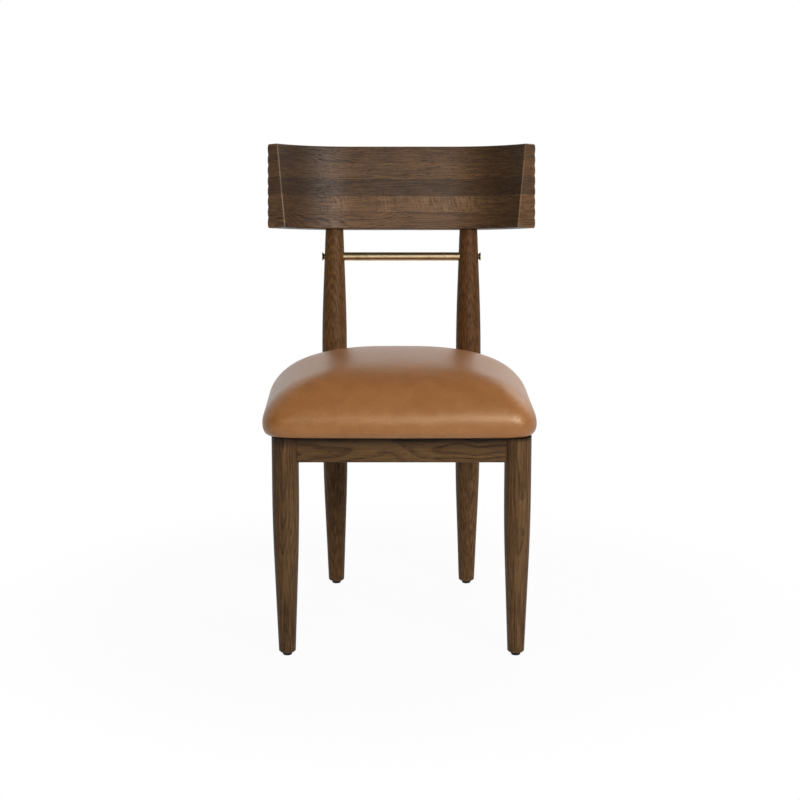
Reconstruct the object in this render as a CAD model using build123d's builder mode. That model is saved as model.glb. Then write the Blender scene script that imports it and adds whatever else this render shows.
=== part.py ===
from build123d import *
import math
import os

os.makedirs("parts", exist_ok=True)

# Stance of the four legs
front_leg_x = 197.5
front_leg_y = -225.0
rear_leg_x = 124.5
rear_foot_y = 201.0
rear_splay = 5.5
back_rake = 10.9
crest_y = 212.0
crest_z = 680.0
bend_radius = 520.0

# Turned legs
leg_diameter = 46.0
foot_diameter = 29.0
foot_chamfer = 2.0
taper_start = 298.0
taper_blend = 135.0
post_top_diameter = 33.0
post_taper = 120.0
post_blend = 105.0
post_tenon_diameter = 20.0
post_tenon_length = 30.0

# Seat frame
frame_top = 388.0
apron_height = 44.0
apron_thickness = 22.0
apron_ease = 1.5
shoulder_offset = 17.0
dowel_diameter = 8.0
dowel_in_leg = 11.0
dowel_in_apron = 24.0
dowel_pitch = 20.0
dowel_end_gap = 1.0

# Corner blocks and their screws
block_height = 30.0
block_reach = 72.0
block_leg_gap = 28.0
screw_diameter = 4.0
screw_head_diameter = 8.0
screw_head_height = 2.6
screw_head_room = 1.0
block_screw_reach = 48.0
block_screw_length = 24.0
block_screw_cover = 8.0
block_screw_lift = 15.0
seat_screw_length = 32.0
seat_screw_cover = 22.0

# Backrest
back_height = 154.0
back_foot_thickness = 43.0
back_top_thickness = 24.0
back_flat_half = 93.0
back_radius = 200.0
back_turn_angle = 49.8
back_edge_round = 3.0
back_end_ease = 1.8
reed_count = 8
reed_depth = 1.6

# Brass rod and its end bolts
rod_diameter = 16.0
rod_z = 631.0
rod_seat_offset = 13.0
bolt_diameter = 6.0
bolt_thread_length = 16.0
bolt_collar_diameter = 9.0
bolt_collar_offset = 14.0
bolt_head_diameter = 15.0
bolt_head_offset = 23.0
bolt_flare_height = 2.6
bolt_rim_height = 1.6
bolt_socket_size = 4.0
bolt_socket_depth = 3.0
bolt_rim_ease = 0.5

# Foot glides
glide_height = 6.0
glide_top_diameter = 19.0
glide_floor_diameter = 16.0
glide_recess_depth = 2.6
glide_round = 1.0
glide_screw_diameter = 3.6
glide_screw_head = 7.0
glide_screw_head_height = 2.0
glide_screw_length = 22.0

# Seat cushion
seat_side_overhang = 35.5
seat_front_overhang = 37.0
seat_rear_overhang = 3.0
seat_rear_taper = 3.0
seat_front_bow = 12.0
seat_rear_bow = 16.0
seat_front_corner = 40.0
seat_rear_corner = 170.0
cushion_height = 103.0
cushion_widest = 23.0
cushion_foot_factor = 0.964
cushion_foot_power = 2.2
cushion_foot_shares = (0, 0.22, 0.52)
crown_power = 1.48
crown_root = 0.224
crown_levels = 12
crown_crowding = 1.8
leather_thickness = 1.5
board_thickness = 12.0
board_inset = 20.0
foam_inset = 24.0
foam_thickness = 34.0
crown_pad_factor = 0.62
crown_pad_thickness = 28.0
cover_fold = 36.0
dust_cover_thickness = 0.8
dust_cover_inset = 26.0
post_notch_room = 2.0

# Fits
glue_gap = 0.05
bolt_clearance = 0.2

# Values that follow from the sizes above
splay_slope = math.tan(math.radians(rear_splay))
rake_slope = math.tan(math.radians(back_rake))
knee_z = (rear_foot_y - crest_y + crest_z * rake_slope) / (splay_slope + rake_slope)
knee_y = rear_foot_y - knee_z * splay_slope
bend_tangent = bend_radius * math.tan(math.radians((rear_splay + back_rake) / 2))
bend_start_z = knee_z - bend_tangent * math.cos(math.radians(rear_splay))
apron_bottom = frame_top - apron_height
apron_mid = frame_top - apron_height / 2
leg_radius = leg_diameter / 2
foot_radius = foot_diameter / 2
seat_bottom = frame_top + dust_cover_thickness
board_bottom = seat_bottom + leather_thickness
rod_y = crest_y - (crest_z - rod_z) * rake_slope
rod_end_x = rear_leg_x - rod_seat_offset
foam_bottom = board_bottom + board_thickness
crown_pad_bottom = foam_bottom + foam_thickness
seat_screw_in_board = seat_screw_length - seat_screw_cover - (board_bottom - frame_top)
sides = {"left": -1, "right": 1}


# Height to depth of the rear leg axis, below and through its bend
def rear_axis_y(z):
    line_y = rear_foot_y - z * splay_slope
    if z <= bend_start_z:
        return line_y
    lean = math.radians(rear_splay)
    centre_y = rear_foot_y - bend_start_z * splay_slope + bend_radius * math.cos(lean)
    centre_z = bend_start_z + bend_radius * math.sin(lean)
    return centre_y - math.sqrt(bend_radius**2 - (z - centre_z) ** 2)


rear_joint_y = rear_axis_y(apron_mid)

# Seat plan, hung over the leg axes
seat_half_width = front_leg_x + seat_side_overhang
seat_rear_half_width = seat_half_width - seat_rear_taper
seat_front_y = front_leg_y - seat_front_overhang
seat_rear_y = rear_joint_y + seat_rear_overhang


# Radius at a distance from a tapered end: straight taper, blend, then full size
def taper_radius(distance, end_radius, straight, blend):
    slope = (leg_radius - end_radius) / (straight + blend / 2)
    if distance <= straight:
        return end_radius + slope * distance
    if distance >= straight + blend:
        return leg_radius
    rest = straight + blend - distance
    return leg_radius - slope * rest**2 / (2 * blend)


# The two apron ends that meet each leg, as axis point and direction away from the leg
def corner_axis(end, side):
    if end == "front":
        return Vector(side * front_leg_x, front_leg_y)
    return Vector(side * rear_leg_x, rear_joint_y)


def side_direction(end, side):
    run = corner_axis("rear", side) - corner_axis("front", side)
    if end == "rear":
        run = -run
    return run.normalized()


def corner_directions(end, side):
    return [Vector(-side, 0), side_direction(end, side)]


# Planes at the apron shoulders, looking out of the leg into the apron
def dowel_planes(end, side, direction):
    centre = corner_axis(end, side) + direction * shoulder_offset
    low = apron_mid - dowel_pitch / 2
    high = apron_mid + dowel_pitch / 2
    return [Plane((centre.X, centre.Y, z), z_dir=direction) for z in (low, high)]


# Plan of an apron between two leg axes, drawn to its shoulders
def apron_plan(start, end, extra):
    middle = (start + end) * 0.5
    run = end - start
    angle = math.degrees(math.atan2(run.Y, run.X))
    with Locations(Location((middle.X, middle.Y, 0), (0, 0, angle))):
        Rectangle(run.length - 2 * shoulder_offset + 2 * extra, apron_thickness + 2 * extra)


# Housings that a leg needs for its two aprons
def leg_housings(end, side):
    other = "rear" if end == "front" else "front"
    here = corner_axis(end, side)
    with BuildSketch(Plane.XY.offset(apron_bottom)) as housings:
        apron_plan(here, corner_axis(end, -side), glue_gap)
        apron_plan(here, corner_axis(other, side), glue_gap)
    return housings.sketch


# Front legs, turned from one blank with a long blended taper
def build_front_leg(side):
    axis_point = (side * front_leg_x, front_leg_y, 0)
    taper_end = taper_start - taper_blend
    end_radius = taper_radius(taper_end - glide_height, foot_radius, taper_end - glide_height, taper_blend)
    with BuildPart() as leg:
        with BuildSketch(Plane(axis_point, x_dir=(1, 0, 0), z_dir=(0, -1, 0))):
            with BuildLine():
                taper = Line((foot_radius, glide_height), (end_radius, taper_end))
                TangentArc(taper @ 1, (leg_radius, taper_start), tangent=taper % 1)
                Polyline((leg_radius, taper_start), (leg_radius, frame_top), (0, frame_top))
                Polyline((0, frame_top), (0, glide_height), (foot_radius, glide_height))
            make_face()
        revolve(axis=Axis(axis_point, (0, 0, 1)))
        chamfer(leg.edges().filter_by(GeomType.CIRCLE).sort_by(Axis.Z)[0], length=foot_chamfer)
        extrude(leg_housings("front", side), amount=apron_height, mode=Mode.SUBTRACT)
        for direction in corner_directions("front", side):
            with Locations(*dowel_planes("front", side, direction)):
                Hole(dowel_diameter / 2, dowel_in_leg + dowel_end_gap)
        with Locations((side * front_leg_x, front_leg_y, glide_height)):
            Hole(glide_screw_diameter / 2, glide_screw_length)
    return leg.part


# Rear legs, one bent and turned piece from the foot to the backrest
def build_rear_leg(side):
    leg_x = side * rear_leg_x
    with BuildPart() as leg:
        with BuildLine(Plane((leg_x, 0, 0), x_dir=(0, 1, 0), z_dir=(1, 0, 0))) as axis_line:
            FilletPolyline((rear_foot_y, 0), (knee_y, knee_z), (crest_y, crest_z), radius=bend_radius)
        spine = axis_line.wire()
        length = spine.length
        low_straight = taper_start - taper_blend - glide_height
        low_full = taper_start
        high_full = length - post_taper - post_blend
        stations = [0, low_straight / 2, low_straight, (low_straight + low_full) / 2, low_full]
        stations += [(low_full + high_full) / 2, high_full]
        stations += [high_full + post_blend / 2, high_full + post_blend, length - post_taper / 2, length]
        for station in stations:
            foot_part = taper_radius(station - glide_height, foot_radius, low_straight, taper_blend)
            post_part = taper_radius(length - station, post_top_diameter / 2, post_taper, post_blend)
            here = spine.position_at(station / length)
            along = spine.tangent_at(station / length)
            with BuildSketch(Plane(here, x_dir=(1, 0, 0), z_dir=along)):
                Circle(min(foot_part, post_part))
        loft()
        split(bisect_by=Plane.XY.offset(glide_height), keep=Keep.TOP)
        chamfer(leg.faces().sort_by(Axis.Z)[0].edges(), length=foot_chamfer)
        with BuildSketch(Plane(spine @ 1, x_dir=(1, 0, 0), z_dir=spine % 1)):
            Circle(post_tenon_diameter / 2)
        extrude(amount=post_tenon_length)
        extrude(leg_housings("rear", side), amount=apron_height, mode=Mode.SUBTRACT)
        for direction in corner_directions("rear", side):
            with Locations(*dowel_planes("rear", side, direction)):
                Hole(dowel_diameter / 2, dowel_in_leg + dowel_end_gap)
        with Locations(Plane((side * rod_end_x, rod_y, rod_z), z_dir=(-side, 0, 0))):
            Cylinder(
                rod_diameter / 2 + glue_gap,
                rod_seat_offset,
                align=(Align.CENTER, Align.CENTER, Align.MIN),
                mode=Mode.SUBTRACT,
            )
            Hole(bolt_diameter / 2 + bolt_clearance, leg_diameter)
        collar_x = side * (rear_leg_x + bolt_collar_offset)
        with Locations(Plane((collar_x, rod_y, rod_z), z_dir=(side, 0, 0))):
            Cylinder(
                bolt_collar_diameter / 2 + glue_gap,
                leg_radius,
                align=(Align.CENTER, Align.CENTER, Align.MIN),
                mode=Mode.SUBTRACT,
            )
        with Locations((leg_x, rear_axis_y(glide_height), glide_height)):
            Hole(glide_screw_diameter / 2, glide_screw_length)
    return leg.part


# Aprons, dowelled into the legs and let into their round sides
def build_apron(start_end, start_side, finish_end, finish_side, screw_points):
    start = corner_axis(start_end, start_side)
    finish = corner_axis(finish_end, finish_side)
    run = (finish - start).normalized()
    with BuildPart() as apron:
        with BuildSketch(Plane.XY.offset(apron_bottom)):
            apron_plan(start, finish, 0)
        extrude(amount=apron_height)
        long_edges = apron.faces().sort_by(Axis.Z)[0].edges().sort_by(SortBy.LENGTH)[-2:]
        chamfer(long_edges, length=apron_ease)
        for plane in dowel_planes(start_end, start_side, run):
            with Locations(Plane(plane.origin, z_dir=-run)):
                Hole(dowel_diameter / 2, dowel_in_apron + dowel_end_gap)
        for plane in dowel_planes(finish_end, finish_side, -run):
            with Locations(Plane(plane.origin, z_dir=run)):
                Hole(dowel_diameter / 2, dowel_in_apron + dowel_end_gap)
        for plane in screw_points:
            with Locations(plane):
                Hole(screw_diameter / 2, block_screw_length - block_screw_cover)
    return apron.part


# Inward normal of an apron face at a corner
def inward(end, side, direction):
    other = next(d for d in corner_directions(end, side) if d != direction)
    normal = other - direction * other.dot(direction)
    return normal.normalized()


# Screw planes on the inner apron faces, looking from the apron into the block
def block_screw_planes(end, side):
    planes = []
    for direction in corner_directions(end, side):
        normal = inward(end, side, direction)
        spot = corner_axis(end, side) + direction * block_screw_reach + normal * (apron_thickness / 2)
        planes.append(Plane((spot.X, spot.Y, frame_top - block_screw_lift), z_dir=normal))
    return planes


def block_outline(end, side):
    first, second = corner_directions(end, side)
    axis = corner_axis(end, side)
    points = []
    for direction, reach in (
        (first, block_leg_gap),
        (first, block_reach),
        (second, block_reach),
        (second, block_leg_gap),
    ):
        spot = axis + direction * reach + inward(end, side, direction) * (apron_thickness / 2)
        points.append((spot.X, spot.Y))
    return points


def block_centre(end, side):
    points = block_outline(end, side)
    return (sum(p[0] for p in points) / len(points), sum(p[1] for p in points) / len(points))


# Corner blocks, glued and screwed into the four corners of the seat frame
def build_corner_block(end, side):
    with BuildPart() as block:
        with BuildSketch(Plane.XY.offset(frame_top - block_height)):
            with BuildLine():
                Polyline(*block_outline(end, side), close=True)
            make_face()
        extrude(amount=block_height)
        for plane in block_screw_planes(end, side):
            with Locations(Plane(plane.origin, z_dir=-plane.z_dir)):
                Hole(screw_diameter / 2 + bolt_clearance, block_reach)
            with Locations(plane.offset(block_screw_cover)):
                Cylinder(
                    screw_head_diameter / 2 + screw_head_room,
                    block_reach,
                    align=(Align.CENTER, Align.CENTER, Align.MIN),
                    mode=Mode.SUBTRACT,
                )
        under = (*block_centre(end, side), frame_top - seat_screw_cover)
        with Locations(Plane(under, z_dir=(0, 0, -1))):
            Cylinder(
                screw_head_diameter / 2 + screw_head_room,
                block_height,
                align=(Align.CENTER, Align.CENTER, Align.MIN),
                mode=Mode.SUBTRACT,
            )
            Hole(screw_diameter / 2 + bolt_clearance, block_height)
    return block.part


# Wood screw standing on the underside of its head, shank along -Z of the plane
def add_screw(plane, length):
    with Locations(plane):
        Cylinder(
            screw_head_diameter / 2,
            screw_head_height,
            align=(Align.CENTER, Align.CENTER, Align.MIN),
        )
        Cylinder(
            screw_diameter / 2,
            length,
            align=(Align.CENTER, Align.CENTER, Align.MAX),
        )


# Share of its widest plan that the cushion has at a height: tucked in at the foot, domed at the crown
def cushion_factor(height):
    if height < cushion_widest:
        tuck = (1 - height / cushion_widest) ** cushion_foot_power
        return 1 - (1 - cushion_foot_factor) * tuck
    lift = (height - cushion_widest) / (cushion_height - cushion_widest)
    return (1 - lift**crown_power) ** crown_root


# Heights of the cushion's sections, closer together towards the crown
def cushion_heights():
    heights = [cushion_widest * share for share in cushion_foot_shares]
    for step in range(crown_levels):
        lift = 1 - (1 - step / crown_levels) ** crown_crowding
        heights.append(cushion_widest + lift * (cushion_height - cushion_widest))
    return heights


# Plan outline of the cushion at a height, scaled about its middle and drawn in by an inset
def cushion_outline(level, factor, inset):
    middle_y = (seat_front_y + seat_rear_y) / 2
    front_half = seat_half_width * factor - inset
    rear_half = seat_rear_half_width * factor - inset
    front_y = middle_y + (seat_front_y - middle_y) * factor + inset
    rear_y = middle_y + (seat_rear_y - middle_y) * factor - inset
    front_corner_y = front_y + seat_front_bow * factor
    rear_corner_y = rear_y - seat_rear_bow * factor
    with BuildSketch(Plane.XY.offset(level)) as outline:
        with BuildLine():
            ThreePointArc((-front_half, front_corner_y), (0, front_y), (front_half, front_corner_y))
            Line((front_half, front_corner_y), (rear_half, rear_corner_y))
            ThreePointArc((rear_half, rear_corner_y), (0, rear_y), (-rear_half, rear_corner_y))
            Line((-rear_half, rear_corner_y), (-front_half, front_corner_y))
        make_face()
        fillet(outline.vertices().group_by(Axis.Y)[0], radius=seat_front_corner * factor)
        fillet(outline.vertices().group_by(Axis.Y)[-1], radius=seat_rear_corner * factor)
    return outline.sketch


for name, side in sides.items():
    front_leg = build_front_leg(side)
    front_leg.label = f"front_leg_{name}"
    export_step(front_leg, f"parts/front_leg_{name}.step")
    rear_leg = build_rear_leg(side)
    rear_leg.label = f"rear_leg_{name}"
    export_step(rear_leg, f"parts/rear_leg_{name}.step")

front_screws = [block_screw_planes("front", side)[0] for side in sides.values()]
front_apron = build_apron("front", -1, "front", 1, front_screws)
front_apron.label = "front_apron"
export_step(front_apron, "parts/front_apron.step")

rear_screws = [block_screw_planes("rear", side)[0] for side in sides.values()]
rear_apron = build_apron("rear", -1, "rear", 1, rear_screws)
rear_apron.label = "rear_apron"
export_step(rear_apron, "parts/rear_apron.step")

for name, side in sides.items():
    side_screws = [block_screw_planes(end, side)[1] for end in ("front", "rear")]
    side_apron = build_apron("front", side, "rear", side, side_screws)
    side_apron.label = f"side_apron_{name}"
    export_step(side_apron, f"parts/side_apron_{name}.step")

# Beech dowels in the eight apron joints
with BuildPart() as frame_dowels:
    for end in ("front", "rear"):
        for side in sides.values():
            for direction in corner_directions(end, side):
                for plane in dowel_planes(end, side, direction):
                    with Locations(plane.offset(-dowel_in_leg)):
                        Cylinder(
                            dowel_diameter / 2,
                            dowel_in_leg + dowel_in_apron,
                            align=(Align.CENTER, Align.CENTER, Align.MIN),
                        )
frame_dowels.part.label = "frame_dowels"
export_step(frame_dowels.part, "parts/frame_dowels.step")

for end in ("front", "rear"):
    for name, side in sides.items():
        block = build_corner_block(end, side)
        block.label = f"corner_block_{end}_{name}"
        export_step(block, f"parts/corner_block_{end}_{name}.step")

with BuildPart() as block_screws:
    for end in ("front", "rear"):
        for side in sides.values():
            for plane in block_screw_planes(end, side):
                add_screw(plane.offset(block_screw_cover), block_screw_length)
block_screws.part.label = "block_screws"
export_step(block_screws.part, "parts/block_screws.step")

with BuildPart() as seat_screws:
    for end in ("front", "rear"):
        for side in sides.values():
            under = (*block_centre(end, side), frame_top - seat_screw_cover)
            add_screw(Plane(under, z_dir=(0, 0, -1)), seat_screw_length)
seat_screws.part.label = "seat_screws"
export_step(seat_screws.part, "parts/seat_screws.step")

# Backrest: a wedge section with a reeded back, swept round a flattened U
rake = math.radians(back_rake)
crest_plane = Plane((0, crest_y, crest_z), x_dir=(1, 0, 0), z_dir=(0, math.sin(rake), math.cos(rake)))
back_line_y = back_foot_thickness / 2
reed_pitch = back_height / reed_count

with BuildPart() as backrest:
    with BuildLine(crest_plane) as back_path:
        JernArc((back_flat_half, back_line_y), (1, 0), back_radius, -back_turn_angle)
        JernArc((-back_flat_half, back_line_y), (-1, 0), back_radius, back_turn_angle)
        Line((-back_flat_half, back_line_y), (back_flat_half, back_line_y))
    sweep_path = back_path.wire()
    path_start = sweep_path @ 0
    path_along = sweep_path % 0
    path_out = crest_plane.z_dir.cross(path_along)
    with BuildSketch(Plane(path_start, x_dir=path_out, z_dir=path_along)) as back_section:
        with BuildLine():
            for reed in range(reed_count):
                ThreePointArc(
                    (-reed_depth, reed * reed_pitch),
                    (0, (reed + 0.5) * reed_pitch),
                    (-reed_depth, (reed + 1) * reed_pitch),
                )
            Polyline(
                (-reed_depth, 0),
                (-back_foot_thickness, 0),
                (-back_top_thickness, back_height),
                (-reed_depth, back_height),
            )
        make_face()
        fillet(back_section.vertices().sort_by(Axis.X)[:2], radius=back_edge_round)
    sweep(path=sweep_path)
    for side_end in (0, -1):
        end_face = backrest.faces().filter_by(GeomType.PLANE).sort_by(Axis.X)[side_end]
        chamfer(end_face.edges().sort_by(Axis.Y)[0], length=back_end_ease)
    for side in sides.values():
        with Locations(crest_plane * Location((side * rear_leg_x, 0, 0))):
            Hole(post_tenon_diameter / 2 + glue_gap, post_tenon_length + dowel_end_gap)
backrest.part.label = "backrest"
export_step(backrest.part, "parts/backrest.step")

# Brass rod with a tapped hole in each end
with BuildPart() as back_rod:
    with BuildSketch(Plane((-rod_end_x, rod_y, rod_z), x_dir=(0, 1, 0), z_dir=(1, 0, 0))):
        Circle(rod_diameter / 2)
    extrude(amount=2 * rod_end_x)
    for side in sides.values():
        with Locations(Plane((side * rod_end_x, rod_y, rod_z), z_dir=(side, 0, 0))):
            Hole(bolt_diameter / 2 + glue_gap, bolt_thread_length + dowel_end_gap)
back_rod.part.label = "back_rod"
export_step(back_rod.part, "parts/back_rod.step")

# Bolts that hold the rod: flared head, collar let into the post, hex socket
for name, side in sides.items():
    bolt_axis_point = (side * rear_leg_x, rod_y, rod_z)
    shank_start = -rod_seat_offset - bolt_thread_length
    flare_start = bolt_head_offset - bolt_rim_height - bolt_flare_height
    rim_start = bolt_head_offset - bolt_rim_height
    with BuildPart() as rod_bolt:
        with BuildSketch(Plane(bolt_axis_point, x_dir=(side, 0, 0), z_dir=(0, -side, 0))):
            with BuildLine():
                Polyline(
                    (shank_start, 0),
                    (shank_start, bolt_diameter / 2),
                    (bolt_collar_offset, bolt_diameter / 2),
                    (bolt_collar_offset, bolt_collar_diameter / 2),
                    (flare_start, bolt_collar_diameter / 2),
                    (rim_start, bolt_head_diameter / 2),
                    (bolt_head_offset, bolt_head_diameter / 2),
                    (bolt_head_offset, 0),
                    close=True,
                )
            make_face()
        revolve(axis=Axis(bolt_axis_point, (1, 0, 0)))
        chamfer(
            rod_bolt.faces().sort_by(Axis.X)[-1 if side > 0 else 0].edges(),
            length=bolt_rim_ease,
        )
        with BuildSketch(Plane((side * (rear_leg_x + bolt_head_offset), rod_y, rod_z), z_dir=(side, 0, 0))):
            RegularPolygon(bolt_socket_size / 2, 6, major_radius=False)
        extrude(amount=-bolt_socket_depth, mode=Mode.SUBTRACT)
    rod_bolt.part.label = f"rod_bolt_{name}"
    export_step(rod_bolt.part, f"parts/rod_bolt_{name}.step")

# Foot glides with a recessed screw
foot_points = {}
for name, side in sides.items():
    foot_points[f"front_{name}"] = (side * front_leg_x, front_leg_y)
    foot_points[f"rear_{name}"] = (side * rear_leg_x, rear_axis_y(glide_height))

for name, (foot_x, foot_y) in foot_points.items():
    with BuildPart() as glide:
        with BuildSketch(Plane((foot_x, foot_y, 0), x_dir=(1, 0, 0), z_dir=(0, -1, 0))):
            with BuildLine():
                Polyline(
                    (0, 0),
                    (glide_floor_diameter / 2 - glide_round, 0),
                    (glide_floor_diameter / 2, glide_round),
                    (glide_top_diameter / 2, glide_height),
                    (0, glide_height),
                    close=True,
                )
            make_face()
        revolve(axis=Axis((foot_x, foot_y, 0), (0, 0, 1)))
        with Locations(Plane((foot_x, foot_y, 0), z_dir=(0, 0, -1))):
            CounterBoreHole(
                glide_screw_diameter / 2 + bolt_clearance,
                glide_screw_head / 2 + bolt_clearance,
                glide_recess_depth,
            )
    glide.part.label = f"foot_glide_{name}"
    export_step(glide.part, f"parts/foot_glide_{name}.step")

with BuildPart() as glide_screws:
    for foot_x, foot_y in foot_points.values():
        with Locations(Plane((foot_x, foot_y, glide_recess_depth), z_dir=(0, 0, -1))):
            Cylinder(
                glide_screw_head / 2,
                glide_screw_head_height,
                align=(Align.CENTER, Align.CENTER, Align.MIN),
            )
            Cylinder(
                glide_screw_diameter / 2,
                glide_screw_length - glide_recess_depth,
                align=(Align.CENTER, Align.CENTER, Align.MAX),
            )
glide_screws.part.label = "glide_screws"
export_step(glide_screws.part, "parts/glide_screws.step")

# Seat board, drilled for the screws that come up through the corner blocks
with BuildPart() as seat_board:
    extrude(cushion_outline(board_bottom, 1, board_inset), amount=board_thickness)
    for end in ("front", "rear"):
        for side in sides.values():
            with Locations(Plane((*block_centre(end, side), board_bottom), z_dir=(0, 0, -1))):
                Hole(screw_diameter / 2, seat_screw_in_board)
seat_board.part.label = "seat_board"
export_step(seat_board.part, "parts/seat_board.step")

# Foam slab and the smaller slab that lifts the crown
with BuildPart() as seat_foam:
    extrude(cushion_outline(foam_bottom, 1, foam_inset), amount=foam_thickness)
seat_foam.part.label = "seat_foam"
export_step(seat_foam.part, "parts/seat_foam.step")

with BuildPart() as crown_pad:
    extrude(cushion_outline(crown_pad_bottom, crown_pad_factor, 0), amount=crown_pad_thickness)
crown_pad.part.label = "crown_pad"
export_step(crown_pad.part, "parts/crown_pad.step")

# Board and slabs as one stack, the room they take inside the cover
with BuildPart() as seat_core:
    extrude(cushion_outline(seat_bottom, 1, cover_fold), amount=leather_thickness)
    extrude(cushion_outline(board_bottom, 1, board_inset), amount=board_thickness)
    extrude(cushion_outline(foam_bottom, 1, foam_inset), amount=foam_thickness)
    extrude(cushion_outline(crown_pad_bottom, crown_pad_factor, 0), amount=crown_pad_thickness)

# Leather cover with its wadding, pulled over the slabs, folded under and cut round the posts
with BuildPart() as seat_cover:
    heights = cushion_heights()
    cushion_sections = [cushion_outline(seat_bottom + height, cushion_factor(height), 0) for height in heights]
    loft(cushion_sections, ruled=True)
    add(seat_core.part, mode=Mode.SUBTRACT)
    for side in sides.values():
        with Locations((side * rear_leg_x, rear_axis_y(seat_bottom), seat_bottom)):
            Cylinder(
                leg_radius + post_notch_room,
                cushion_height,
                align=(Align.CENTER, Align.CENTER, Align.MIN),
                mode=Mode.SUBTRACT,
            )
    for end in ("front", "rear"):
        for side in sides.values():
            with Locations((*block_centre(end, side), seat_bottom)):
                Hole(screw_diameter / 2, leather_thickness)
seat_cover.part.label = "seat_cover"
export_step(seat_cover.part, "parts/seat_cover.step")

# Dust cloth over the underside of the seat
with BuildPart() as dust_cover:
    extrude(cushion_outline(frame_top, 1, dust_cover_inset), amount=dust_cover_thickness)
    for end in ("front", "rear"):
        for side in sides.values():
            with Locations((*block_centre(end, side), frame_top)):
                Hole(screw_diameter / 2, block_height)
dust_cover.part.label = "dust_cover"
export_step(dust_cover.part, "parts/dust_cover.step")
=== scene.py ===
import math

import bmesh
import bpy
from mathutils import Matrix, Vector
from mathutils.bvhtree import BVHTree


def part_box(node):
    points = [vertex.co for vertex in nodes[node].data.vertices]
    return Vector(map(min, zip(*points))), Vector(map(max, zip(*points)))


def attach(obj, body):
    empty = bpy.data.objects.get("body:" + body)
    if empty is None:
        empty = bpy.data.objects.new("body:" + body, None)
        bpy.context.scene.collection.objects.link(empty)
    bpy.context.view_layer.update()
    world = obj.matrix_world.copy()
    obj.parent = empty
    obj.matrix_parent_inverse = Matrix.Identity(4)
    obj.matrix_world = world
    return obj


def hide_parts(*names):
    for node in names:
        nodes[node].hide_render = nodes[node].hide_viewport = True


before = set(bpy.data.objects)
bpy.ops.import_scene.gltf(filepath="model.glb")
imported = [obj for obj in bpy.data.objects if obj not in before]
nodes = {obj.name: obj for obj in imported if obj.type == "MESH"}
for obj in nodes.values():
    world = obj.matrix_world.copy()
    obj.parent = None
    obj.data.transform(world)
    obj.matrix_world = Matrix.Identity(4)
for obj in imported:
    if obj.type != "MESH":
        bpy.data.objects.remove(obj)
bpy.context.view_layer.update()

# Backrest: the middle of its foot, its lean, the turn of its ends, and its staves' tones from the bottom up
crest = Vector((0.0, 0.212, 0.680))
back_rake = math.radians(10.9)
back_turn = math.radians(49.8)
back_height = 0.154
stave_tones = (1.15, 1.18, 0.66, 1.00, 0.85)
stave_count = len(stave_tones)

# Frame: how far the side aprons turn in towards the rear legs, and between which heights a leg becomes a
# post, where its lower tone, painted lighter and greyer as floor-bounced light, gives way to the post's tint
side_skew = math.radians(10.6)
post_start = (0.36, 0.48)

# Turns that bring a piece's length onto Z
upright = (0.0, 0.0, 0.0)
lying = (0.0, math.radians(-90.0), 0.0)
side_left = (math.radians(90.0), -side_skew, 0.0)
side_right = (math.radians(90.0), side_skew, 0.0)

# Oak's colours under stain, and how much darker the painted shadow under the seat makes the wood
oak_dark = (0.060, 0.0296, 0.0105)
oak_pale = (0.122, 0.0632, 0.0232)
oak_cloud = (0.140, 0.076, 0.0300)
oak_early_wood = (0.026, 0.0122, 0.0048)
oak_vessel = (0.016, 0.0075, 0.0030)
oak_pore = (0.012, 0.0055, 0.0022)
# The ray colour also paints the pale highlight line along the backrest's end edges
oak_ray_and_glint = (0.180, 0.108, 0.052)
painted_shadow_depth = 0.72

# Oak's marks: how often each repeats in a metre, across the grain and along it
sway_pace = (6.0, 5.5)
swell_pace = (11.0, 3.0)
fret_pace = (120.0, 14.0)
streak_pace = (420.0, 11.0)
cloud_pace = (24.0, 4.5)
vessel_pace = (520.0, 38.0)
pore_pace = (1100.0, 95.0)

# Oak's marks: the noise levels between which each comes up, and how strongly it colours
streak_edge = (0.34, 0.66)
cloud_edge = (0.48, 0.72)
cloud_gap = (0.66, 0.36)
vessel_edge = (0.53, 0.63)
pore_edge = (0.54, 0.64)
cloud_share = 0.35
early_share = 0.26
early_in_gaps = 0.40
vessel_share = 0.66
pore_share = 0.50

# Oak's growth rings: wander in metres, raggedness, where in a ring early wood lies, and late wood's pores
ring_sway = 0.030
ring_swell = 0.034
ring_fret = 0.30
early_start = (0.42, 0.92)
early_end = (1.0, 0.96)
late_pores = 0.40

# Oak's surface
oak_rough = 0.46
oak_relief = 0.00018

# Backrest's staves: how soft the change between two is, the seams, and how the grain is drawn out and shifted
stave_blur = 0.02
seam_edge = (0.478, 0.497)
seam_shade = 0.30
grain_draw = 2.0
flat_sawn_draw = 0.8
plank_shift = 0.731
bend_follow = 0.14

# Backrest's ray fleck: its stave's middle, in staves from the foot, and rays and clusters to the metre
fleck_stave = 1.5
fleck_edge = (0.50, 0.47)
ray_pace = 300.0
ray_slant = 0.16
ray_depth = 0.15
ray_edge = (0.40, 0.64)
cluster_pace = 26.0
cluster_height = 0.3
cluster_edge = (0.34, 0.56)
stray_rays = 0.2
fleck_reach = (0.160, 0.120)
fleck_share = 0.44

# Backrest's ends: where the bend is painted darker as painted shade, and how far from the end cut its face
# and its pale painted edge highlight reach
bend_reach = (0.100, 0.185)
painted_bend_shade = 0.46
cut_edge = (0.0020, 0.0006)
edge_glint_back = (0.0026, 0.0014)
edge_glint_front = (0.0001, 0.0006)
edge_glint_share = 0.8

# Seat cushion in plan, in metres; rear_draw is how much narrower the rear is, as a share
front_corner = 0.040
rear_corner = 0.170
corner_steps = 12
edge_steps = 14
straight_edge = 0.05
front_bow = 0.004
rear_bow = 0.016
rear_draw = 0.026
rear_skew = 0.0045
cushion_offset = -0.0032
smoothing_loss = 0.0025

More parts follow.
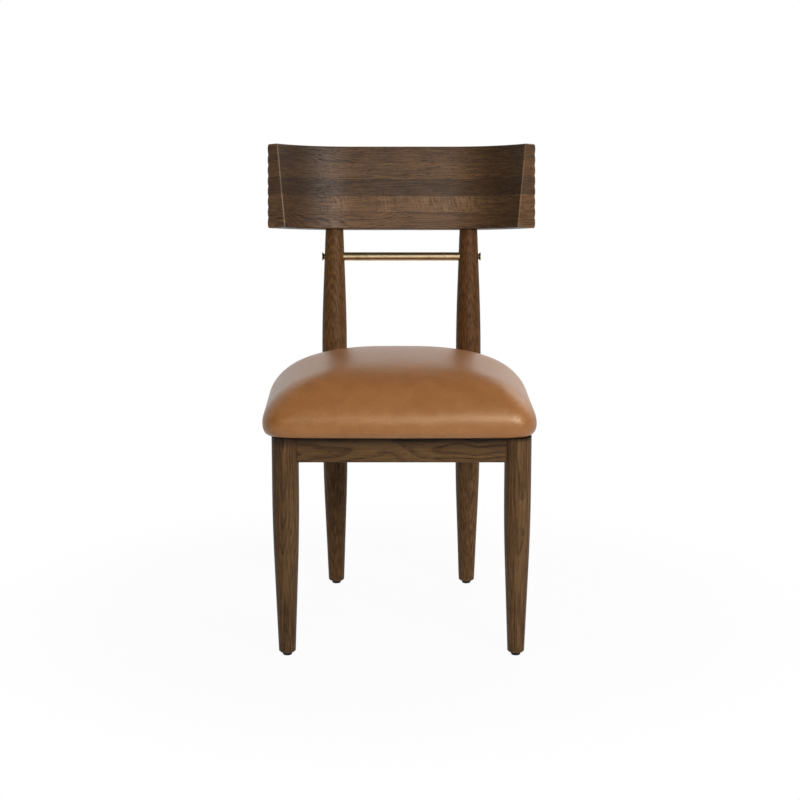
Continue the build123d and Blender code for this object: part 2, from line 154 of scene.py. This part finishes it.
# Seat cushion upwards, heights in metres; fold_depth and foot_pull are shares of the width
fold_lift = 0.0025
fold_depth = 0.045
tack_shift = 0.006
foot_pull = 0.015
foot_power = 2.2
foot_shares = (0.0, 0.12, 0.3, 0.6)
widest_height = 0.023
crown_levels = 20
crown_crowding = 1.7
crown_power = 1.48
crown_root = 0.224
crown_last = 0.999
crown_loss = 0.001

# Seat cushion's filling, the leather's stiffness, and how far its points are set off the posts
voxel = 0.006
blank_smoothing = 6
filled_smoothing = 3
fill_pressure = 4.0
fill_frames = 20
fill_cap = 0.004
leather_stretch = 40.0
leather_shear = 25.0
leather_bend = 20.0
post_reach = 0.03
post_room = 0.0012

# Floor, which keeps a shadow in its middle, and room, by the direction in which a reflection looks
floor_half = 40.0
floor_gap = 0.0003
floor_grey = 0.62
floor_white = 0.95
shadow_edge = (0.45, 0.9)
wall_top = (0.62, 0.44)
wall_flare = 0.66
wall_front = (-0.2, 0.35)
panel_side = (0.2, 0.65)
panel_foot = (0.1, 0.5)
panel_gain = 1.2
studio_dim = 0.08
studio_fill = 0.28
lamp_aim = Vector((0.0, 0.0, 0.45))

# Camera
camera_place = (-0.0027, -3.862, 1.2365)
camera_dip = math.radians(12.2)
lens_length = 99.18
sensor_width = 36.0

# Sockets of a Mix node that mixes colours
mix_share, mix_first, mix_second, mix_result = 0, 6, 7, 2


class Value:
    """A shader socket that takes part in sums, so that 1 - mask adds a Math node."""

    def __init__(self, finish, socket):
        self.finish = finish
        self.socket = socket

    def __add__(self, other):
        return self.finish.math("ADD", self, other)

    def __radd__(self, other):
        return self.finish.math("ADD", other, self)

    def __sub__(self, other):
        return self.finish.math("SUBTRACT", self, other)

    def __rsub__(self, other):
        return self.finish.math("SUBTRACT", other, self)

    def __mul__(self, other):
        return self.finish.math("MULTIPLY", self, other)

    def __rmul__(self, other):
        return self.finish.math("MULTIPLY", other, self)

    def __truediv__(self, other):
        return self.finish.math("DIVIDE", self, other)

    def __pow__(self, other):
        return self.finish.math("POWER", self, other)

    def floor(self):
        return self.finish.math("FLOOR", self)

    def fraction(self):
        return self.finish.math("FRACT", self)

    def away(self):
        """How far from zero, to either side."""
        return self.finish.math("ABSOLUTE", self)

    def band(self, start, end):
        """0 at start, 1 at end and smooth between, whichever of them is higher."""
        settings = {"interpolation_type": "SMOOTHSTEP", "clamp": True}
        rising = start < end
        inputs = {"Value": self, "From Min": min(start, end), "From Max": max(start, end)}
        inputs["To Min"] = 0.0 if rising else 1.0
        inputs["To Max"] = 1.0 if rising else 0.0
        return self.finish.value("ShaderNodeMapRange", settings, inputs)


class Finish:
    """A material, or the world, and the nodes that paint it."""

    def __init__(self, owner):
        self.owner = owner
        owner.use_nodes = True
        self.tree = owner.node_tree
        self.tree.nodes.clear()

    def node(self, kind, settings=None, inputs=None):
        made = self.tree.nodes.new(kind)
        for name, setting in (settings or {}).items():
            if name == "stops":
                self.set_stops(made.color_ramp, setting)
            else:
                setattr(made, name, setting)
        for name, given in (inputs or {}).items():
            if isinstance(given, Value):
                self.tree.links.new(given.socket, made.inputs[name])
            else:
                made.inputs[name].default_value = given
        return made

    def set_stops(self, ramp, stops):
        """Greys, each of which holds from its own position up to the next."""
        ramp.interpolation = "CONSTANT"
        while len(ramp.elements) < len(stops):
            ramp.elements.new(1.0)
        for element, (position, tone) in zip(ramp.elements, stops):
            element.position = position
            element.color = (tone, tone, tone, 1.0)

    def value(self, kind, settings=None, inputs=None, output=0):
        return Value(self, self.node(kind, settings, inputs).outputs[output])

    def math(self, operation, *terms):
        return self.value("ShaderNodeMath", {"operation": operation}, dict(enumerate(terms)))

    def vector(self, operation, *terms):
        return self.value("ShaderNodeVectorMath", {"operation": operation}, dict(enumerate(terms)))

    def mix(self, first, second, share, blend="MIX"):
        settings = {"data_type": "RGBA", "blend_type": blend}
        inputs = {mix_share: share, mix_first: first, mix_second: second}
        return self.value("ShaderNodeMix", settings, inputs, mix_result)

    def grey(self, level):
        return self.value("ShaderNodeCombineColor", None, {"Red": level, "Green": level, "Blue": level})

    def place(self, centre=(0.0, 0.0, 0.0), turn=(0.0, 0.0, 0.0)):
        """Object coordinates from a centre, turned about it."""
        here = self.value("ShaderNodeTexCoord", output="Object")
        off = self.vector("SUBTRACT", here, centre)
        return self.value("ShaderNodeMapping", None, {"Vector": off, "Rotation": turn})

    def split(self, vector):
        parts = self.node("ShaderNodeSeparateXYZ", None, {"Vector": vector})
        return [Value(self, part) for part in parts.outputs]

    def join(self, x, y, z):
        return self.value("ShaderNodeCombineXYZ", None, {"X": x, "Y": y, "Z": z})

    def noise(self, vector, stretch, detail=2.0, rough=0.5, bend=0.0):
        drawn = self.vector("MULTIPLY", vector, stretch)
        inputs = {"Vector": drawn, "Scale": 1.0, "Detail": detail, "Roughness": rough, "Distortion": bend}
        return self.value("ShaderNodeTexNoise", {"noise_dimensions": "3D"}, inputs)

    def figure(self, grain, pace, fine=1.0, detail=2.0, rough=0.5):
        """Noise drawn out along the grain, which is Z; pace is how often it changes across and along."""
        across, along = pace
        return self.noise(grain, (across * fine, across * fine, along), detail, rough)

    def cells(self, vector, scale, feature="F1", jitter=1.0):
        inputs = {"Vector": vector, "Scale": scale, "Randomness": jitter}
        return self.value("ShaderNodeTexVoronoi", {"feature": feature}, inputs)

    def rays(self):
        """Whether a ray comes from the camera, and whether it comes from a reflection."""
        path = self.node("ShaderNodeLightPath")
        return [Value(self, path.outputs[name]) for name in ("Is Camera Ray", "Is Glossy Ray")]

    def bump(self, height, distance, strength=1.0, under=None):
        inputs = {"Height": height, "Distance": distance, "Strength": strength}
        if under is not None:
            inputs["Normal"] = under
        return self.value("ShaderNodeBump", None, inputs)

    def surface(self, **sockets):
        inputs = {name.replace("_", " "): given for name, given in sockets.items()}
        shader = self.value("ShaderNodeBsdfPrincipled", None, inputs)
        self.node("ShaderNodeOutputMaterial", None, {"Surface": shader})
        return self.owner


def new_finish(name):
    return Finish(bpy.data.materials.new(name))


def even(size):
    return (size, size, size)


def opaque(colour):
    return (*colour, 1.0)


def toned(colour, tone):
    return opaque(channel * share for channel, share in zip(colour, tone))


def oak_grain(
    paint,
    grain,
    pith,
    tone,
    rate=215.0,
    depth=1.0,
    waver=1.0,
    streaks=1.0,
    fine=1.0,
    opened=1.0,
    gloss=0.13,
    pale_marks=None,
    wash=None,
):
    """Stained oak in a frame whose Z runs along the grain: growth rings round a pith, streaks and pores.

    rate is rings to the metre, depth how dark their early wood is and waver how far they wander. streaks is
    how strong the pale and dark streaks are, fine how close together streaks and pores lie, opened how far
    the pores took stain, and gloss the shine of the lacquer. The ray-colour mask is where rays show, and on
    the backrest also a painted highlight line along the end edges. wash is a tint over everything, which also
    carries the painted shade, painted shadow and painted floor-bounce light that callers put in it.
    """
    across, through = paint.split(grain)[:2]
    sway = (paint.figure(grain, sway_pace) - 0.5) * ring_sway * waver
    swell = (paint.figure(grain, swell_pace) - 0.5) * ring_swell * waver
    fret = (paint.figure(grain, fret_pace) - 0.5) * ring_fret
    aside = across + sway + pith[0]
    deep = through + swell + pith[1]
    rings = ((aside * aside + deep * deep) ** 0.5 * rate + fret).fraction()
    early = rings.band(*early_start) * rings.band(*early_end)
    porous = late_pores + (1.0 - late_pores) * early
    streak = paint.figure(grain, streak_pace, fine, detail=3.0, rough=0.6)
    cloud = paint.figure(grain, cloud_pace)
    vessels = paint.figure(grain, vessel_pace, fine, rough=0.6).band(*vessel_edge) * porous
    pores = paint.figure(grain, pore_pace, fine, detail=1.0).band(*pore_edge) * porous
    pale = 0.5 + (streak.band(*streak_edge) - 0.5) * streaks
    dark = early * depth * (early_share + early_in_gaps * cloud.band(*cloud_gap))
    colour = paint.mix(toned(oak_dark, tone), toned(oak_pale, tone), pale)
    colour = paint.mix(colour, toned(oak_cloud, tone), cloud.band(*cloud_edge) * cloud_share)
    colour = paint.mix(colour, toned(oak_early_wood, tone), dark)
    colour = paint.mix(colour, toned(oak_vessel, tone), vessels * (vessel_share * opened))
    colour = paint.mix(colour, toned(oak_pore, tone), pores * (pore_share * opened))
    if pale_marks is not None:
        colour = paint.mix(colour, toned(oak_ray_and_glint, tone), pale_marks)
    if wash is not None:
        colour = paint.mix(colour, wash, 1.0, "MULTIPLY")
    rough = oak_rough + 0.16 * vessels + 0.10 * pores - (streak - 0.5) * 0.10
    relief = paint.bump(streak * 0.4 - vessels - pores * 0.6, oak_relief, strength=0.5)
    return paint.surface(Base_Color=colour, Roughness=rough, Normal=relief, Specular_IOR_Level=gloss)


def backrest_oak():
    """Five staves with the grain along X, each from its own plank.

    The bottom stave is flat sawn, the next one quarter sawn with ray flecks. Where the board bends round it
    is painted darker, a painted shade, but not on the end cuts. Their front edges carry a pale painted
    highlight line in place of a glint.
    """
    paint = new_finish("backrest_oak")
    x, y, z = paint.split(paint.place())
    rise = (z - crest.z) * math.cos(back_rake) + (y - crest.y) * math.sin(back_rake)
    ladder = rise / back_height * stave_count
    inside = ladder.fraction() - 0.5
    seam = inside.away().band(*seam_edge)
    top_seam = stave_count - 1.0
    flat_sawn = ladder.band(1.0 + stave_blur, 1.0 - stave_blur)
    quarter_sawn = (ladder - fleck_stave).away().band(*fleck_edge)
    top_stave = ladder.band(top_seam - stave_blur, top_seam + stave_blur)

    # The grain's own frame: up the stave, into the board, and along the plank
    along = x * (grain_draw - (grain_draw - flat_sawn_draw) * flat_sawn) + ladder.floor() * plank_shift
    grain = paint.join(inside * (back_height / stave_count), (y - crest.y) * bend_follow, along)

    # Rays across the quarter sawn stave, in clusters
    rays_at = paint.join(x + rise * ray_slant, rise * ray_slant, y * ray_depth)
    rays = paint.noise(rays_at, even(ray_pace), rough=0.55, bend=0.2).band(*ray_edge)
    clusters_at = paint.join(x, rise * cluster_height, y)
    clusters = paint.noise(clusters_at, even(cluster_pace), detail=1.0).band(*cluster_edge)
    gathered = stray_rays + (1.0 - stray_rays) * clusters
    pale_marks = quarter_sawn * rays * gathered * x.away().band(*fleck_reach) * fleck_share

    # How far in from the end cuts, measured square to them
    forward = Vector((0.0, -math.cos(back_rake), math.sin(back_rake)))
    ahead = Vector((math.cos(back_turn), 0.0, 0.0)) + forward * math.sin(back_turn)
    reach = max(v.co.dot(ahead) for v in nodes["backrest"].data.vertices)
    inset = reach - (x.away() * ahead.x + y * ahead.y + z * ahead.z)
    # Painted highlight: a pale line along the end edges, standing in for their glint
    painted_edge_glint = inset.band(*edge_glint_back) * inset.band(*edge_glint_front)
    # Painted shade: the board is painted darker where it bends round, but not on the end cuts
    bent = x.away().band(*bend_reach) * (1.0 - inset.band(*cut_edge))

    stops = [(step / stave_count, tone) for step, tone in enumerate(stave_tones)]
    tones = paint.value("ShaderNodeValToRGB", {"stops": stops}, {"Fac": rise / back_height})
    # Stave tones and dark seams, times the painted shade in the bends
    shade = tones * (1.0 - seam * seam_shade) * (1.0 - bent * painted_bend_shade)
    return oak_grain(
        paint,
        grain,
        pith=(0.030, 0.022),
        tone=(1.07, 0.99, 0.94),
        rate=400.0 - 120.0 * flat_sawn - 80.0 * top_stave,
        depth=0.62 + 0.5 * flat_sawn + 0.35 * top_stave,
        waver=0.28 + 2.7 * flat_sawn + 1.2 * top_stave,
        streaks=0.9,
        fine=0.78,
        opened=1.15,
        gloss=0.28,
        # Rays, and along the end edges the pale painted highlight line, both in the ray colour
        pale_marks=paint.math("MAXIMUM", pale_marks, painted_edge_glint * edge_glint_share),
        wash=paint.grey(shade),
    )


def seat_leather():
    """Tan full grain leather: finely pebbled, a little mottled and a little slack."""
    paint = new_finish("seat_leather")
    place = paint.place()
    mottle = paint.noise(place, even(34.0), detail=4.0, rough=0.6)
    freckle = paint.noise(place, even(260.0), detail=3.0, rough=0.6)
    slack = paint.noise(place, (52.0, 52.0, 30.0), detail=3.0, rough=0.55, bend=0.4)
    pebble = paint.cells(place, 640.0)
    crease = paint.cells(place, 330.0, feature="DISTANCE_TO_EDGE")
    creased = crease.band(0.12, 0.0)
    tan, light_tan = (0.246, 0.094, 0.0250), (0.281, 0.112, 0.0330)
    freckle_brown, crease_brown = (0.180, 0.064, 0.017), (0.160, 0.056, 0.015)
    colour = paint.mix(opaque(tan), opaque(light_tan), mottle.band(0.30, 0.70))
    colour = paint.mix(colour, opaque(freckle_brown), freckle.band(0.50, 0.74) * 0.42)
    colour = paint.mix(colour, opaque(crease_brown), creased * 0.28)
    relief = paint.bump(slack, distance=0.0030, strength=0.20)
    relief = paint.bump(pebble, distance=0.00025, strength=0.40, under=relief)
    relief = paint.bump(crease.band(0.0, 0.22), distance=0.00020, strength=0.40, under=relief)
    rough = 0.315 + (mottle - 0.5) * 0.06 + creased * 0.10
    warm = opaque((1.0, 0.86, 0.60))
    shine = {"Specular_IOR_Level": 0.67, "Specular_Tint": warm}
    return paint.surface(Base_Color=colour, Roughness=rough, Normal=relief, **shine)


def brass(name, bright, dull):
    """Antique brass, drawn along X, dull where the lacquer has aged."""
    paint = new_finish(name)
    place = paint.place(turn=lying)
    lines = paint.figure(place, (5200.0, 12.0))
    age = paint.noise(place, even(38.0), detail=4.0, rough=0.62)
    colour = paint.mix(opaque(bright), opaque(dull), age.band(0.42, 0.74))
    rough = 0.25 + 0.10 * age + 0.06 * (lines - 0.5)
    relief = paint.bump(lines, distance=0.00002, strength=0.25)
    return paint.surface(Base_Color=colour, Roughness=rough, Normal=relief, Metallic=1.0)


def glide_plastic():
    """Black plastic, scuffed by floors."""
    paint = new_finish("glide_plastic")
    black, grey = (0.003, 0.0028, 0.0026), (0.009, 0.0085, 0.008)
    scuff = paint.noise(paint.place(), even(900.0), detail=3.0, rough=0.6)
    colour = paint.mix(opaque(black), opaque(grey), scuff.band(0.45, 0.70))
    rough = 0.50 + 0.2 * scuff
    relief = paint.bump(scuff, distance=0.0001, strength=0.4)
    return paint.surface(Base_Color=colour, Roughness=rough, Normal=relief, Specular_IOR_Level=0.2)


def hidden_beech():
    """Bare beech of the blocks and dowels."""
    paint = new_finish("hidden_beech")
    dark, pale = (0.48, 0.31, 0.17), (0.61, 0.43, 0.26)
    streak = paint.noise(paint.place(), (60.0, 14.0, 190.0), detail=3.0)
    colour = paint.mix(opaque(dark), opaque(pale), streak.band(0.3, 0.7))
    relief = paint.bump(streak, distance=0.0003, strength=0.4)
    return paint.surface(Base_Color=colour, Roughness=0.62, Normal=relief)


def board_plywood():
    """Plywood with its grain along X and its plies in the edge."""
    paint = new_finish("board_plywood")
    dark, pale, glue = (0.50, 0.34, 0.19), (0.64, 0.47, 0.29), (0.34, 0.21, 0.11)
    plies_to_metre = 420.0
    place = paint.place()
    plies = (paint.split(place)[2] * plies_to_metre).fraction().band(0.35, 0.65)
    streak = paint.noise(place, (8.0, 130.0, 60.0), detail=3.0)
    colour = paint.mix(opaque(dark), opaque(pale), streak.band(0.3, 0.7))
    colour = paint.mix(colour, opaque(glue), plies * 0.4)
    relief = paint.bump(streak, distance=0.0003, strength=0.3)
    return paint.surface(Base_Color=colour, Roughness=0.66, Normal=relief)


def seat_foam():
    """Open-celled cream foam."""
    paint = new_finish("seat_foam")
    shaded, cream = (0.68, 0.62, 0.42), (0.80, 0.75, 0.55)
    pits = paint.cells(paint.place(), 900.0)
    colour = paint.mix(opaque(shaded), opaque(cream), pits.band(0.1, 0.6))
    relief = paint.bump(pits, distance=0.0006, strength=0.6)
    return paint.surface(Base_Color=colour, Roughness=0.9, Normal=relief)


def dust_cloth():
    """Black felted cloth with rows of pressed dimples."""
    paint = new_finish("dust_cloth")
    black, grey = (0.011, 0.011, 0.012), (0.040, 0.040, 0.043)
    place = paint.place()
    felt = paint.noise(place, even(1300.0), detail=3.0, rough=0.7)
    dimple = paint.cells(place, 420.0, jitter=0.15)
    colour = paint.mix(opaque(black), opaque(grey), felt.band(0.3, 0.7))
    relief = paint.bump(felt * 0.4 + dimple, distance=0.0004, strength=0.6)
    return paint.surface(Base_Color=colour, Roughness=0.92, Normal=relief)


def screw_steel():
    """Plated steel, slightly stained."""
    paint = new_finish("screw_steel")
    dull, bright = (0.42, 0.40, 0.36), (0.60, 0.58, 0.54)
    stain = paint.noise(paint.place(), even(700.0), detail=3.0, rough=0.6)
    colour = paint.mix(opaque(dull), opaque(bright), stain.band(0.3, 0.7))
    return paint.surface(Base_Color=colour, Roughness=0.30 + 0.2 * stain, Metallic=1.0)


def dress(node, material):
    mesh = nodes[node].data
    mesh.materials.clear()
    mesh.materials.append(material)


def dress_oak(node, turn, pith, tone, painted_shadow_height=0.0, post=None, **cut):
    """Oak for one piece; turn brings its length onto Z, and pith is how far off the log's heart lay.

    A strip of the given height under the seat is painted darker, a painted shadow of the cushion's overhang.
    A post above the seat has a tint of its own against the leg below, whose tone is painted lighter and
    greyer as light bounced off the floor.
    """
    paint = new_finish(f"{node}_oak")
    low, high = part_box(node)
    height = paint.split(paint.place())[2]
    wash = None
    # Painted shadow: a strip under the seat painted darker in place of the cushion's cast shadow
    if painted_shadow_height:
        wash = paint.grey(1.0 - painted_shadow_depth * height.band(high.z - painted_shadow_height, high.z))
    # Above the seat the post's tint; below it the leg's tone, painted lighter and greyer as floor-bounce
    # light
    if post is not None:
        wash = paint.mix(opaque(even(1.0)), opaque(post), height.band(*post_start))
    grain = paint.place((low + high) / 2, turn)
    dress(node, oak_grain(paint, grain, pith, tone, wash=wash, **cut))


def dress_legs():
    # Front legs: a strip under the seat painted darker as painted shadow
    dress_oak("front_leg_left", upright, (0.004, 0.031), even(0.95), painted_shadow_height=0.020, waver=1.5)
    dress_oak("front_leg_right", upright, (-0.012, 0.047), even(1.06), painted_shadow_height=0.008)
    turned = {"depth": 0.45, "opened": 0.55, "gloss": 0.09}
    # Rear legs' lower tones are painted lighter and greyer as floor-bounce light; their posts are tinted
    # warmer
    left_bounce_lit_tone, left_post = (1.05, 1.02, 1.03), (1.10, 1.02, 0.89)
    right_bounce_lit_tone, right_post = (1.20, 1.20, 1.30), (0.80, 0.66, 0.50)
    dress_oak("rear_leg_left", upright, (0.011, 0.043), left_bounce_lit_tone, post=left_post, **turned)
    dress_oak("rear_leg_right", upright, (-0.006, 0.035), right_bounce_lit_tone, post=right_post, **turned)


def dress_aprons():
    plain_sawn = {"rate": 130.0, "depth": 1.2, "waver": 2.4, "streaks": 0.45}
    # Front apron: a strip under the seat painted darker as painted shadow
    dress_oak("front_apron", lying, (0.002, 0.026), even(1.07), painted_shadow_height=0.027, **plain_sawn)
    dress_oak("rear_apron", lying, (0.009, 0.040), even(1.02), rate=170.0, waver=1.4, streaks=0.6)
    straight = {"waver": 0.8, "streaks": 0.6}
    dress_oak("side_apron_left", side_left, (0.028, 0.006), even(1.02), **straight)
    dress_oak("side_apron_right", side_right, (0.036, -0.008), even(1.02), **straight)


def dress_back():
    dress("backrest", backrest_oak())
    dress("back_rod", brass("rod_brass", bright=(0.540, 0.405, 0.245), dull=(0.400, 0.280, 0.155)))
    bolt_brass = brass("bolt_brass", bright=(0.330, 0.235, 0.135), dull=(0.200, 0.135, 0.075))
    for side in ("left", "right"):
        dress(f"rod_bolt_{side}", bolt_brass)


def dress_small_pieces():
    plastic = glide_plastic()
    beech = hidden_beech()
    for node in nodes:
        if node.startswith("foot_glide"):
            dress(node, plastic)
        if node.startswith("corner_block") or node == "frame_dowels":
            dress(node, beech)
    steel = screw_steel()
    for node in ("block_screws", "seat_screws", "glide_screws"):
        dress(node, steel)


def dress_seat_layers():
    dress("seat_board", board_plywood())
    foam = seat_foam()
    for node in ("seat_foam", "crown_pad"):
        dress(node, foam)
    dress("dust_cover", dust_cloth())


def cushion_plan(half):
    """The seat pad's outline as one flat face: rounded corners, bowed ends, narrower towards the rear."""
    pad = bmesh.new()
    bmesh.ops.create_grid(pad, x_segments=1, y_segments=1, size=1.0)
    bmesh.ops.scale(pad, vec=(half.x, half.y, 1.0), verts=pad.verts)
    for rearward, corner in ((-1.0, front_corner), (1.0, rear_corner)):
        ends = [v for v in pad.verts if v.co.y * rearward > half.y * 0.99]
        bmesh.ops.bevel(
            pad, geom=ends, offset=corner, segments=corner_steps, profile=0.5, affect="VERTICES", material=-1
        )
    straight = [e for e in pad.edges if e.calc_length() > straight_edge]
    bmesh.ops.subdivide_edges(pad, edges=straight, cuts=edge_steps)
    for v in pad.verts:
        bow = front_bow if v.co.y < 0 else -rear_bow
        backward = (v.co.y / half.y + 1.0) / 2
        v.co.y += bow * (v.co.x / half.x) ** 2 * abs(v.co.y) / half.y
        v.co.x = v.co.x * (1.0 - rear_draw * backward) - rear_skew * backward
    return pad


def cushion_levels(top):
    """Height and width of each level of the pad, from the tacked fold up; widths are shares of the widest."""
    levels = [(0.0, 1.0 - foot_pull - fold_depth)]
    rise = widest_height - fold_lift
    for share in foot_shares:
        levels.append((fold_lift + share * rise, 1.0 - foot_pull * (1.0 - share) ** foot_power))
    lifts = [1.0 - (1.0 - level / crown_levels) ** crown_crowding for level in range(crown_levels)]
    for lift in lifts + [crown_last]:
        width = (1.0 - lift**crown_power) ** crown_root
        levels.append((widest_height + lift * (top - widest_height), width))
    return levels


def cushion_blank(low, high):
    """The seat pad before it is filled: its plan, raised level by level and drawn in towards the crown."""
    middle = (low + high) / 2
    half = (high - low) / 2 + Vector((smoothing_loss, smoothing_loss, 0.0))
    pad = cushion_plan(half)
    levels = cushion_levels(high.z - low.z - crown_loss)
    ring = pad.edges[:]
    tacked = pad.verts[:]
    tacked_width = levels[0][1]
    bmesh.ops.scale(pad, vec=(tacked_width, tacked_width, 1.0), verts=tacked)
    for (height, width), (last_height, last_width) in zip(levels[1:], levels):
        grown = bmesh.ops.extrude_edge_only(pad, edges=ring)["geom"]
        ring = [part for part in grown if isinstance(part, bmesh.types.BMEdge)]
        rim = [part for part in grown if isinstance(part, bmesh.types.BMVert)]
        bmesh.ops.scale(pad, vec=(width / last_width, width / last_width, 1.0), verts=rim)
        bmesh.ops.translate(pad, vec=(0.0, 0.0, height - last_height), verts=rim)
    bmesh.ops.contextual_create(pad, geom=ring)
    bmesh.ops.translate(pad, vec=(0.0, tack_shift, 0.0), verts=tacked)
    bmesh.ops.translate(pad, vec=(middle.x + cushion_offset, middle.y, low.z), verts=pad.verts)
    bmesh.ops.recalc_face_normals(pad, faces=pad.faces)
    return pad


def as_object(name, shape):
    mesh = bpy.data.meshes.new(name)
    shape.to_mesh(mesh)
    shape.free()
    made = bpy.data.objects.new(name, mesh)
    bpy.context.scene.collection.objects.link(made)
    return made


def settle_modifiers(piece):
    """Gives a piece the mesh that its modifiers make, and takes the modifiers off."""
    shown = piece.evaluated_get(bpy.context.evaluated_depsgraph_get())
    mesh = bpy.data.meshes.new_from_object(shown)
    piece.modifiers.clear()
    piece.data = mesh


def even_mesh(piece):
    evener = piece.modifiers.new("even", "REMESH")
    evener.mode = "VOXEL"
    evener.voxel_size = voxel
    settle_modifiers(piece)


def smooth_pad(piece, rounds):
    """Evens out the surface, but not where the pad rests."""
    shape = bmesh.new()
    shape.from_mesh(piece.data)
    rest_z = min(v.co.z for v in shape.verts)
    loose = [v for v in shape.verts if v.co.z > rest_z + voxel / 2]
    every_way = {"use_axis_x": True, "use_axis_y": True, "use_axis_z": True}
    for _ in range(rounds):
        bmesh.ops.smooth_vert(shape, verts=loose, factor=0.5, **every_way)
    shape.to_mesh(piece.data)
    shape.free()


def fill_with_wadding(piece):
    """Cloth under pressure from inside, held where the leather is tacked under the board."""
    start = [v.co.copy() for v in piece.data.vertices]
    rest_z = min(point.z for point in start)
    held = piece.vertex_groups.new(name="tacked")
    held.add([i for i, point in enumerate(start) if point.z < rest_z + voxel / 2], 1.0, "REPLACE")
    cloth = piece.modifiers.new("filled", "CLOTH")
    cloth.settings.quality = 6
    cloth.settings.mass = 0.3
    cloth.settings.tension_stiffness = leather_stretch
    cloth.settings.compression_stiffness = leather_stretch
    cloth.settings.shear_stiffness = leather_shear
    cloth.settings.bending_stiffness = leather_bend
    cloth.settings.use_pressure = True
    cloth.settings.uniform_pressure_force = fill_pressure
    cloth.settings.effector_weights.gravity = 0.0
    cloth.settings.vertex_group_mass = held.name
    cloth.collision_settings.use_collision = False
    clock = bpy.context.scene
    for step in range(1, fill_frames + 1):
        clock.frame_set(step)
    settle_modifiers(piece)
    clock.frame_set(1)
    piece.vertex_groups.clear()
    for vertex, before in zip(piece.data.vertices, start):
        swell = vertex.co - before
        if swell.length > fill_cap:
            vertex.co = before + swell * (fill_cap / swell.length)


def clear_of_posts(piece):
    """Sets each point in or close to a rear leg just off its nearest face, before the last rounding."""
    for side in ("left", "right"):
        post = nodes[f"rear_leg_{side}"].data
        skin = BVHTree.FromPolygons([v.co for v in post.vertices], [p.vertices for p in post.polygons])
        for vertex in piece.data.vertices:
            point, normal, _, _ = skin.find_nearest(vertex.co, post_reach)
            if point is None:
                continue
            gap = (vertex.co - point).dot(normal)
            if gap < post_room:
                vertex.co = point + normal * post_room


def make_cushion():
    low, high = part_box("seat_cover")
    cushion = as_object("seat_cushion", cushion_blank(low, high))
    even_mesh(cushion)
    smooth_pad(cushion, blank_smoothing)
    fill_with_wadding(cushion)
    smooth_pad(cushion, filled_smoothing)
    clear_of_posts(cushion)
    rounder = cushion.modifiers.new("rounder", "SUBSURF")
    rounder.levels = 1
    rounder.render_levels = 1
    settle_modifiers(cushion)
    for polygon in cushion.data.polygons:
        polygon.use_smooth = True
    cushion.data.materials.append(seat_leather())
    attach(cushion, "root")
    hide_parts("seat_cover")


def make_floor():
    """Pale floor that keeps a faint shadow near the feet and is plain white further off."""
    slab = bmesh.new()
    bmesh.ops.create_grid(slab, x_segments=1, y_segments=1, size=floor_half)
    bmesh.ops.translate(slab, vec=(0.0, 0.0, -floor_gap), verts=slab.verts)
    floor = as_object("floor", slab)
    paint = new_finish("floor_paint")
    x, y = paint.split(paint.place())[:2]
    off = (x * x + y * y) ** 0.5
    looked_at, mirrored = paint.rays()
    plain = paint.value("ShaderNodeBsdfDiffuse", None, {"Color": opaque(even(floor_grey))})
    white = paint.value("ShaderNodeEmission", None, {"Color": opaque(even(1.0)), "Strength": 1.0})
    clear = floor_white + (1.0 - floor_white) * off.band(*shadow_edge)
    share = paint.math("MAXIMUM", looked_at, mirrored) * clear
    both = paint.value("ShaderNodeMixShader", None, {0: share, 1: plain, 2: white})
    paint.node("ShaderNodeOutputMaterial", None, {"Surface": both})
    floor.data.materials.append(paint.owner)


def light_room():
    """White for the camera. Reflections show a white wall behind and a brighter panel high on the right."""
    room = bpy.data.worlds.new("studio")
    bpy.context.scene.world = room
    paint = Finish(room)
    x, y, z = paint.split(paint.value("ShaderNodeTexCoord", output="Generated"))
    looked_at, mirrored = paint.rays()
    panel = x.band(*panel_side) * z.band(*panel_foot)
    low = (z - x.away() * wall_flare).band(*wall_top)
    wall = low * y.band(*wall_front) * (1.0 + panel_gain * panel)
    shown = studio_dim + (1.0 - studio_dim) * wall
    level = looked_at + mirrored * shown + (1.0 - looked_at - mirrored) * studio_fill
    light = paint.value("ShaderNodeBackground", None, {"Color": opaque(even(1.0)), "Strength": level})
    paint.node("ShaderNodeOutputWorld", None, {"Surface": light})


def hang_lamp(name, place, size, power, mirrored=True):
    lamp = bpy.data.lights.new(name, "AREA")
    lamp.shape = "RECTANGLE"
    lamp.size, lamp.size_y = size
    lamp.energy = power
    holder = bpy.data.objects.new(name, lamp)
    bpy.context.scene.collection.objects.link(holder)
    holder.visible_glossy = mirrored
    toward = lamp_aim - Vector(place)
    holder.matrix_world = Matrix.Translation(place) @ toward.to_track_quat("-Z", "Y").to_matrix().to_4x4()


def hang_lamps():
    hang_lamp("key_softbox", place=(1.48, -2.75, 1.86), size=(1.5, 0.75), power=85.0)
    hang_lamp("front_softbox", place=(0.3, -4.4, 2.0), size=(3.4, 0.5), power=27.0)
    hang_lamp("side_softbox", place=(1.75, 1.6, 2.2), size=(1.5, 1.5), power=8.0)
    hang_lamp("ceiling", place=(0.5, -0.9, 3.4), size=(2.6, 2.6), power=20.0, mirrored=False)
    hang_lamp("back_softbox", place=(0.5, 2.8, 2.5), size=(2.2, 1.4), power=34.0, mirrored=False)


def set_camera():
    lens = bpy.data.cameras.new("camera")
    lens.sensor_width = sensor_width
    lens.lens = lens_length
    camera = bpy.data.objects.new("camera", lens)
    bpy.context.scene.collection.objects.link(camera)
    tilt = Matrix.Rotation(math.radians(90.0) - camera_dip, 4, "X")
    camera.matrix_world = Matrix.Translation(camera_place) @ tilt
    bpy.context.scene.camera = camera


dress_legs()
dress_aprons()
dress_back()
dress_small_pieces()
dress_seat_layers()
make_cushion()
make_floor()
light_room()
hang_lamps()
set_camera()
bpy.context.scene.view_settings.view_transform = "Standard"
